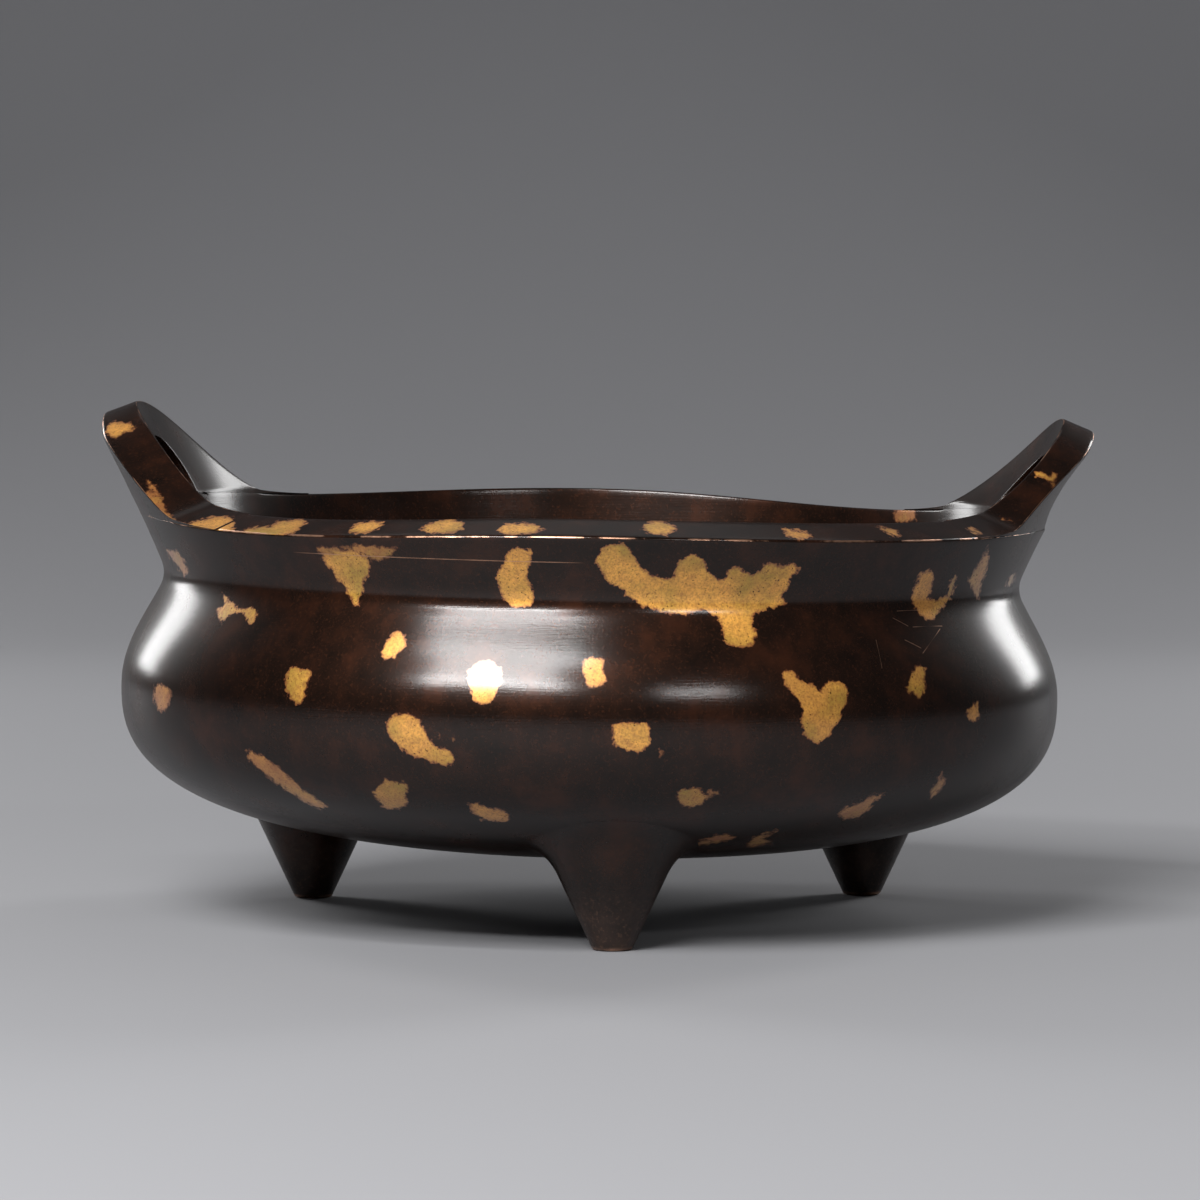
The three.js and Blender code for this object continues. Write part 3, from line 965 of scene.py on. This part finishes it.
# Keeps on each point how deep it lies in a splash, in mm, and how rich the gold is there
def gild(piece, wanted):
    places = vertexPlaces(piece)
    normals = readThrees(piece.data.vertex_normals, "vector")
    points = pixelPlaces(places)
    scale = -photoCamera["place"][1] / photoFocal
    found = unseenDepths(places, normals) if piece == bowl else []
    for where in wanted:
        seen = onSurface(places, normals, where)
        for tone, outline in splashes[where].values():
            found.append((np.where(seen, depthInside(points, outline) * scale, -farDepth), tone))
    depth = np.full(len(places), -farDepth)
    tone = np.full(len(places), 0.5)
    for own, ownTone in found:
        tone = np.where(own > depth, ownTone, tone)
        depth = np.maximum(depth, own)
    addLayer(piece, "gilding", np.clip(depth, -farDepth, farDepth))
    addLayer(piece, "goldTone", tone)


# Marks the rows that follow an edge, whose bare metal is partly rubbed wear and partly a painted highlight
def markWearAndHighlightEdges(piece, rows):
    addLayer(piece, "wearAndHighlight", np.isin(vertexRows(piece), rows) * 1.0)


gild(bowl, ("outside", "lip", "farWall"))
# The lip's outer edge and the ears' crest edges get bare metal: partly rubbed wear, partly a painted
# highlight
wearAndHighlightRow = outsideRows + bowlValues["neckRows"] + 1
markWearAndHighlightEdges(bowl, (wearAndHighlightRow, wearAndHighlightRow + 1))
outerCorner = earValues["faceSteps"] + 1
innerCorner = outerCorner + earValues["roundSteps"] + earValues["edgeSteps"] + 1
for piece in ears.values():
    gild(piece, ("outside", "lip"))
    markWearAndHighlightEdges(piece, (outerCorner + 1, innerCorner + 1))
print("gilding placed")


# Materials


# SRGB hex to linear
def colour(code):
    values = []
    for start in (1, 3, 5):
        part = int(code[start : start + 2], 16) / 255
        values.append(part / 12.92 if part <= 0.04045 else ((part + 0.055) / 1.055) ** 2.4)
    return (*values, 1.0)


# Pattern scale for features of this size in mm
def perMm(size):
    return 1 / (size * mm)


# Inputs are given by name or in their order. A node given as an input stands for its first output.
def addNode(tree, kind, inputs=(), **settings):
    node = tree.nodes.new("ShaderNode" + kind)
    for name, value in settings.items():
        setattr(node, name, value)
    for name, value in inputs.items() if isinstance(inputs, dict) else enumerate(inputs):
        if isinstance(value, bpy.types.Node):
            value = value.outputs[0]
        if isinstance(value, bpy.types.NodeSocket):
            tree.links.new(value, node.inputs[name])
        else:
            node.inputs[name].default_value = value
    return node


# An empty material, and addNode set to work in it
def newMaterial(name):
    material = bpy.data.materials.new(name)
    material.use_nodes = True
    material.node_tree.nodes.clear()
    return material, partial(addNode, material.node_tree)


def dressPiece(piece, material):
    piece.data.materials.clear()
    piece.data.materials.append(material)


# Pattern sizes are in mm. A picture point is 0.21 mm wide at the burner, so turning lines, specks, pricks
# and grain are drawn as coarse as they need to be to show.
bronzeValues = {
    "darkest": "#150b06",
    "dark": "#22120a",
    "brown": "#381d10",
    "speck": "#452616",
    "edgeTint": "#6e5a4c",
    "metallic": 0.6,
    "roughness": 0.42,
    "specular": 0.12,
    "coatWeight": 0.36,
    "coatRoughness": 0.175,
    "coatIor": 1.9,
    "mottleSize": 9.0,
    "speckSize": 0.6,
    "turningLine": 0.22,
    "turningStrength": 0.32,
    "turningDepth": 0.04,
    "turningStretch": 0.02,
    "grainInTurning": 0.6,
    "cloudStops": (0.32, 0.5, 0.72),
    "specks": (0.55, 0.75, 0.0, 0.6),
    "roughnessSpread": (-0.06, 0.08),
    # Pale bare bronze for rubbed spots and scratches, also used as a painted highlight along the lip and
    # ear edges
    "bareMetalAndHighlight": "#d2a286",
    "bareMetalRoughness": 0.36,
    "wearAndHighlightPatchSize": 6.0,
    "wearAndHighlightPatches": (0.36, 0.6),
    "wearAndHighlightCover": (0.35, 0.8),
    "neckLine": {"height": 78.2, "halfWidth": 0.08, "from": -60.0, "to": -2.0, "frontAt": -40.0},
    "neckLineOutside": 90.0,
    "neckLineFaint": (0.3, 0.5, 0.25, 0.8),
}
goldValues = {
    "gold": "#efae4c",
    "goldDim": "#986030",
    "olive": "#94802c",
    "copperEdge": "#7a4020",
    "metallic": 0.5,
    "roughness": 0.46,
    "coatWeight": 0.55,
    "coatRoughness": 0.2,
    "coatIor": 1.9,
    "grainSize": 0.5,
    "oliveSize": 7.0,
    "raggedSize": 1.3,
    "prickSize": 0.45,
    "grainDepth": 0.1,
    "grainStrength": 0.4,
    "fineInGrain": 0.5,
    "wander": (0.3, 0.7, -0.55, 0.5),
    "softness": (0.2, 0.9, 0.6, 0.12),
    "edgeFrom": -0.05,
    "pricks": (0.29, 0.36),
    "drift": (0.3, 0.7, -0.3, 0.3),
    "fringe": (0.05, 0.6),
}
# Fine scratches through to the bright metal, in picture points
scratches = {
    "underHook": ((893, 618), (908, 626)),
    "acrossHook": ((897, 611), (920, 610)),
    "pastHook": ((913, 627), (942, 626)),
    "slantPastHook": ((940, 629), (923, 653)),
    "belowHook": ((905, 640), (921, 648)),
    "leftOfHook": ((876, 640), (882, 668)),
}
scratchHalfWidth = 0.075
scratchStrength = 0.7


# Where the line of sight through a picture point meets the bowl
def seenSpot(point):
    across, up = (point[0] - photoHalf) / photoFocal, (photoHalf - point[1]) / photoFocal
    ahead = math.cos(photoTilt) + up * math.sin(photoTilt)
    towards = Vector((across, ahead, up * math.cos(photoTilt) - math.sin(photoTilt)))
    return bowl.ray_cast(Vector(photoCamera["place"]) * mm, towards.normalized())[1]


def scratchMask(add, place, start, end):
    along = end - start
    half = scratchHalfWidth * mm
    away = add("VectorMath", (place, start), operation="SUBTRACT")
    dot = add("VectorMath", (away, along), operation="DOT_PRODUCT").outputs["Value"]
    share = add("MapRange", (dot, 0.0, along.length_squared))
    back = add("VectorMath", {0: along, "Scale": share}, operation="SCALE")
    gap = add("VectorMath", (away, back), operation="DISTANCE").outputs["Value"]
    return add("MapRange", (gap, half * 1.4, half * 0.6))


# Where rubbing or a tool has gone through the dark skin: a line round the neck, scratches under the
# hook-shaped splash.
# Along the lip and ear edges the bright metal is partly rubbed wear and partly a painted highlight.
def brightMetal(add, values, place):
    patchy = add("TexNoise", {
        "Vector": place, "Scale": perMm(values["wearAndHighlightPatchSize"]), "Detail": 4.0, "Roughness": 0.6})
    # Edge rows: bare metal that is partly rubbed wear and partly a painted highlight
    wearAndHighlight = add("Attribute", attribute_name="wearAndHighlight").outputs["Fac"]
    patches = add("MapRange", (patchy, *values["wearAndHighlightPatches"]))
    mask = add("Math", (wearAndHighlight, patches), operation="MULTIPLY")
    mask = add("MapRange", (mask, *values["wearAndHighlightCover"]))
    axis = (math.sin(lean), 0, math.cos(lean))
    height = add("VectorMath", (place, axis), operation="DOT_PRODUCT").outputs["Value"]
    split = add("SeparateXYZ", (place,))
    flat = add("CombineXYZ", (split.outputs["X"], split.outputs["Y"]))
    radius = add("VectorMath", (flat,), operation="LENGTH").outputs["Value"]
    line = values["neckLine"]
    half = line["halfWidth"] * mm
    off = add("Math", (height, line["height"] * mm), operation="SUBTRACT")
    off = add("Math", (off,), operation="ABSOLUTE")
    ring = add("MapRange", (off, half * 1.5, half * 0.5))
    for value, low, high in (
        (split.outputs["X"], line["from"], line["from"] + 6),
        (split.outputs["X"], line["to"], line["to"] - 6),
        (split.outputs["Y"], line["frontAt"], line["frontAt"] - 2),
        (radius, values["neckLineOutside"], values["neckLineOutside"] + 1),
    ):
        reached = add("MapRange", (value, low * mm, high * mm))
        ring = add("Math", (ring, reached), operation="MULTIPLY")
    faint = add("MapRange", (patchy, *values["neckLineFaint"]))
    ring = add("Math", (ring, faint), operation="MULTIPLY")
    mask = add("Math", (mask, ring), operation="MAXIMUM")
    for start, end in scratches.values():
        scratch = scratchMask(add, place, seenSpot(start), seenSpot(end))
        scratch = add("Math", (scratch, scratchStrength), operation="MULTIPLY")
        mask = add("Math", (mask, scratch), operation="MAXIMUM")
    return mask


# Old tripod-burner bronze: a nearly black brown oxide skin, waxed and rubbed to a deep shine. Fine lines
# run round it from turning, and redder clouds and specks show through.
def bronzeSkin(add, values, place):
    mottle = add("TexNoise", {
        "Vector": place, "Scale": perMm(values["mottleSize"]), "Detail": 6.0, "Roughness": 0.62})
    grain = add("TexNoise", {
        "Vector": place, "Scale": perMm(values["speckSize"]), "Detail": 4.0, "Roughness": 0.6})
    cloud = add("ValToRGB", {"Fac": mottle})
    stops = cloud.color_ramp.elements
    stops.new(0.5)
    for stop, spot, key in zip(stops, values["cloudStops"], ("darkest", "dark", "brown")):
        stop.position = spot
        stop.color = colour(values[key])
    specks = add("MapRange", (grain, *values["specks"]))
    skin = add("Mix", {0: specks, 6: cloud, 7: colour(values["speck"])}, data_type="RGBA")
    split = add("SeparateXYZ", (place,))
    flat = add("CombineXYZ", (split.outputs["X"], split.outputs["Y"]))
    radius = add("VectorMath", (flat,), operation="LENGTH").outputs["Value"]
    stretched = add("Math", (split.outputs["X"], values["turningStretch"]), operation="MULTIPLY")
    turned = add("CombineXYZ", (stretched, radius, split.outputs["Z"]))
    lines = add("TexNoise", {
        "Vector": turned, "Scale": perMm(values["turningLine"]), "Detail": 3.0, "Roughness": 0.6})
    height = add("Math", (grain, values["grainInTurning"], lines), operation="MULTIPLY_ADD")
    bump = add("Bump", {
        "Strength": values["turningStrength"], "Distance": values["turningDepth"] * mm, "Height": height})
    least, most = (values["roughness"] + change for change in values["roughnessSpread"])
    roughness = add("MapRange", (grain, 0.0, 1.0, least, most))
    return add("BsdfPrincipled", {
        "Base Color": skin.outputs[2], "Metallic": values["metallic"], "Roughness": roughness,
        "Specular IOR Level": values["specular"], "Specular Tint": colour(values["edgeTint"]),
        "Coat Weight": values["coatWeight"], "Coat Roughness": values["coatRoughness"],
        "Coat IOR": values["coatIor"], "Normal": bump, "Coat Normal": bump})


# Bare bronze where the skin is gone: a paler, warmer glint. Along the lip and ear edges it also serves as a
# painted highlight.
def bareMetal(add, values):
    return add("BsdfPrincipled", {
        "Base Color": colour(values["bareMetalAndHighlight"]), "Metallic": 1.0, "Roughness": values["bareMetalRoughness"]})


# Bowl and ears: gilded here and there, bright along the edges, which are partly rubbed metal and partly a
# painted highlight
def gildedBronze(name, values):
    material, add = newMaterial(name)
    place = add("TexCoord").outputs["Object"]
    surface = gildedSurface(add, goldValues, bronzeSkin(add, values, place), place)
    mask = brightMetal(add, values, place)
    surface = add("MixShader", (mask, surface, bareMetal(add, values)))
    add("OutputMaterial", (surface,))
    return material


# Feet: the body's skin above, browner and duller towards the sole, whose rim is rubbed bright
def footBronze(name, values, rubbed):
    material, add = newMaterial(name)
    place = add("TexCoord").outputs["Object"]
    height = add("SeparateXYZ", (place,)).outputs["Z"]
    patchy = add("TexNoise", {
        "Vector": place, "Scale": perMm(rubbed["patchSize"]), "Detail": 5.0, "Roughness": 0.6})
    level = add("Math", (patchy, rubbed["patchReach"] * mm, height), operation="MULTIPLY_ADD")
    dullFrom, dullTo = rubbed["dullBelow"]
    share = add("MapRange", (level, dullFrom * mm, dullTo * mm))
    surface = add("MixShader", (share, bronzeSkin(add, values, place), bronzeSkin(add, rubbed, place)))
    rimFrom, rimTo = rubbed["rimBelow"]
    lowest = add("MapRange", (height, rimFrom * mm, rimTo * mm))
    patches = add("MapRange", (patchy, *rubbed["rimPatches"]))
    rim = add("Math", (lowest, patches), operation="MULTIPLY")
    surface = add("MixShader", (rim, surface, bareMetal(add, values)))
    add("OutputMaterial", (surface,))
    return material


# Panel: the same bronze as it was cast, never polished, so it looks dull and dark
def mattBronze(name, values):
    material, add = newMaterial(name)
    place = add("TexCoord").outputs["Object"]
    add("OutputMaterial", (bronzeSkin(add, values, place),))
    return material


# Fire gilding: soft, slightly grainy old gold, olive in places, with ragged edges, pin pricks and a
# coppery fringe where it thins out
def gildedSurface(add, values, bronze, place):
    depth = add("Attribute", attribute_name="gilding").outputs["Fac"]
    tone = add("Attribute", attribute_name="goldTone").outputs["Fac"]
    ragged, pricks, cloudy, broad, fine = (
        add("TexNoise", {"Vector": place, "Scale": perMm(size), "Detail": detail, "Roughness": rough})
        for size, detail, rough in (
            (values["raggedSize"], 5.0, 0.65),
            (values["prickSize"], 2.0, 0.6),
            (values["oliveSize"], 4.0, 0.65),
            (values["oliveSize"] * 1.7, 3.0, 0.6),
            (values["grainSize"], 3.0, 0.7),
        )
    )
    wander = add("MapRange", (ragged, *values["wander"]))
    edge = add("Math", (depth, wander), operation="ADD")
    softness = add("MapRange", (tone, *values["softness"]))
    covered = add("MapRange", (edge, values["edgeFrom"], softness))
    whole = add("MapRange", (pricks, *values["pricks"]))
    cover = add("Math", (covered, whole), operation="MULTIPLY")
    drift = add("MapRange", (cloudy, *values["drift"]))
    richness = add("Math", (tone, drift), operation="ADD")
    gold, dim, olive, copper = (colour(values[key]) for key in ("gold", "goldDim", "olive", "copperEdge"))
    tint = dim
    for pattern, low, high, most, hue in (
        (richness, 0.0, 1.0, 1.0, gold),
        (broad, 0.45, 0.65, 0.75, olive),
        (ragged, 0.45, 0.75, 0.45, dim),
        (fine, 0.44, 0.7, 0.6, copper),
    ):
        share = add("MapRange", (pattern, low, high, 0.0, most))
        tint = add("Mix", {0: share, 6: tint, 7: hue}, data_type="RGBA").outputs[2]
    fringe = add("MapRange", (edge, *values["fringe"]))
    tint = add("Mix", {0: fringe, 6: copper, 7: tint}, data_type="RGBA").outputs[2]
    rise = add("Math", (fine, values["fineInGrain"], ragged), operation="MULTIPLY_ADD")
    bump = add("Bump", {
        "Strength": values["grainStrength"], "Distance": values["grainDepth"] * mm, "Height": rise})
    leaf = add("BsdfPrincipled", {
        "Base Color": tint, "Metallic": values["metallic"], "Roughness": values["roughness"],
        "Coat Weight": values["coatWeight"], "Coat Roughness": values["coatRoughness"],
        "Coat IOR": values["coatIor"], "Normal": bump})
    return add("MixShader", (cover, bronze, leaf))


# The body's bronze where hands, trays and the casting left it duller
rubbedValues = {
    **bronzeValues, "darkest": "#1e140e", "dark": "#30211a", "brown": "#463226", "speck": "#6e5140",
    "metallic": 0.5, "coatWeight": 0.36, "coatRoughness": 0.3, "speckSize": 0.8, "turningStrength": 0.5,
    "patchSize": 2.5, "patchReach": 10.0, "dullBelow": (19.0, 11.0), "rimBelow": (1.0, 0.4),
    "rimPatches": (0.4, 0.6, 0.15, 0.7),
}
bodyFinish = gildedBronze("waxedGildedBronze", bronzeValues)
footFinish = footBronze("rubbedFootBronze", bronzeValues, rubbedValues)
panelFinish = mattBronze("mattPanelBronze", {**rubbedValues, "coatWeight": 0.25, "coatRoughness": 0.45})
print("finishes made")


def settle(piece, material, node):
    dressPiece(piece, material)
    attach(piece, "root")
    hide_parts(node)


settle(bowl, bodyFinish, "bowl")
for name, piece in ears.items():
    settle(piece, bodyFinish, earValues["ears"][name]["node"])
for name, piece in feet.items():
    settle(piece, footFinish, footValues["feet"][name]["node"])
settle(markPanel, panelFinish, "base_mark_panel")
print("pieces dressed", 2 + len(ears) + len(feet))


# Studio: plain grey floor that curves up behind, soft boxes in front, at both sides behind, and above
studio = {
    "floorSize": 6.0,
    "backAt": 1.8,
    "backHeight": 2.5,
    "curveWidth": 0.9,
    "curveSteps": 24,
    "floorColour": "#8d8d90",
    "floorRoughness": 0.7,
    "worldColour": "#a8a9ad",
    "worldStrength": 0.15,
    "aimHeight": 60,
    "softBoxes": {
        "keyTop": {"azimuth": -25, "elevation": 49, "distance": 1.25, "size": (0.74, 0.1), "glow": 29.0},
        "keyMiddle": {"azimuth": -25, "elevation": 40, "distance": 1.26, "size": (0.6, 0.24), "glow": 18.5},
        "keyLow": {"azimuth": -24, "elevation": 31, "distance": 1.25, "size": (0.7, 0.09), "glow": 47.0},
        "fillBox": {"azimuth": 27, "elevation": 25, "distance": 1.4, "size": (0.36, 0.09), "glow": 17.0},
        "leftBox": {"azimuth": -137, "elevation": 20, "distance": 1.2, "size": (0.27, 0.7), "glow": 11.0},
        "rightBox": {"azimuth": 137, "elevation": 20, "distance": 1.2, "size": (0.27, 0.7), "glow": 11.0},
        "topBox": {"azimuth": 180, "elevation": 50, "distance": 1.5, "size": (0.9, 0.35), "glow": 0.5},
    },
}


def addFloor(values):
    deselect()
    bpy.ops.mesh.primitive_plane_add(size=values["floorSize"])
    floor = bpy.context.object
    floor.name = "studioFloor"
    places = vertexPlaces(floor)
    places[places[:, 1] > 0, 1] = values["backAt"]
    moveVertices(floor, places)
    setMode("EDIT")
    bpy.ops.mesh.select_all(action="DESELECT")
    setMode("OBJECT")
    for edge in floor.data.edges:
        edge.select = all(floor.data.vertices[i].co.y > values["backAt"] - 0.01 for i in edge.vertices)
    for vertex in floor.data.vertices:
        vertex.select = vertex.co.y > values["backAt"] - 0.01
    setMode("EDIT")
    bpy.ops.mesh.select_mode(type="EDGE")
    bpy.ops.mesh.extrude_region_move(TRANSFORM_OT_translate={"value": (0, 0, values["backHeight"])})
    setMode("OBJECT")
    curve = floor.modifiers.new("curve", "BEVEL")
    curve.width = values["curveWidth"]
    curve.segments = values["curveSteps"]
    bpy.ops.object.modifier_apply(modifier=curve.name)
    bpy.ops.object.shade_smooth()
    material, add = newMaterial("studioPaper")  # matt paper, without a shine of its own
    shader = add("BsdfPrincipled", {
        "Base Color": colour(values["floorColour"]), "Roughness": values["floorRoughness"]})
    add("OutputMaterial", (shader,))
    dressPiece(floor, material)


def addSoftBox(name, values):
    turn, rise = math.radians(values["azimuth"]), math.radians(values["elevation"])
    towards = Vector((math.sin(turn) * math.cos(rise), -math.cos(turn) * math.cos(rise), math.sin(rise)))
    aim = Vector((0, 0, studio["aimHeight"])) * mm
    bpy.ops.object.light_add(type="AREA", location=aim + towards * values["distance"])
    lamp = bpy.context.object
    lamp.name = name
    lamp.rotation_euler = towards.to_track_quat("Z", "Y").to_euler()
    lamp.data.shape = "RECTANGLE"
    lamp.data.size, lamp.data.size_y = values["size"]
    lamp.data.energy = values["glow"] * math.pi * values["size"][0] * values["size"][1]


def addWorld(values):
    world = bpy.data.worlds.new("studioWorld")
    world.use_nodes = True
    background = world.node_tree.nodes["Background"]
    background.inputs["Color"].default_value = colour(values["worldColour"])
    background.inputs["Strength"].default_value = values["worldStrength"]
    bpy.context.scene.world = world


addFloor(studio)
for name, values in studio["softBoxes"].items():
    addSoftBox(name, values)
addWorld(studio)
bpy.context.scene.view_settings.view_transform = "Standard"
print("studio ready")
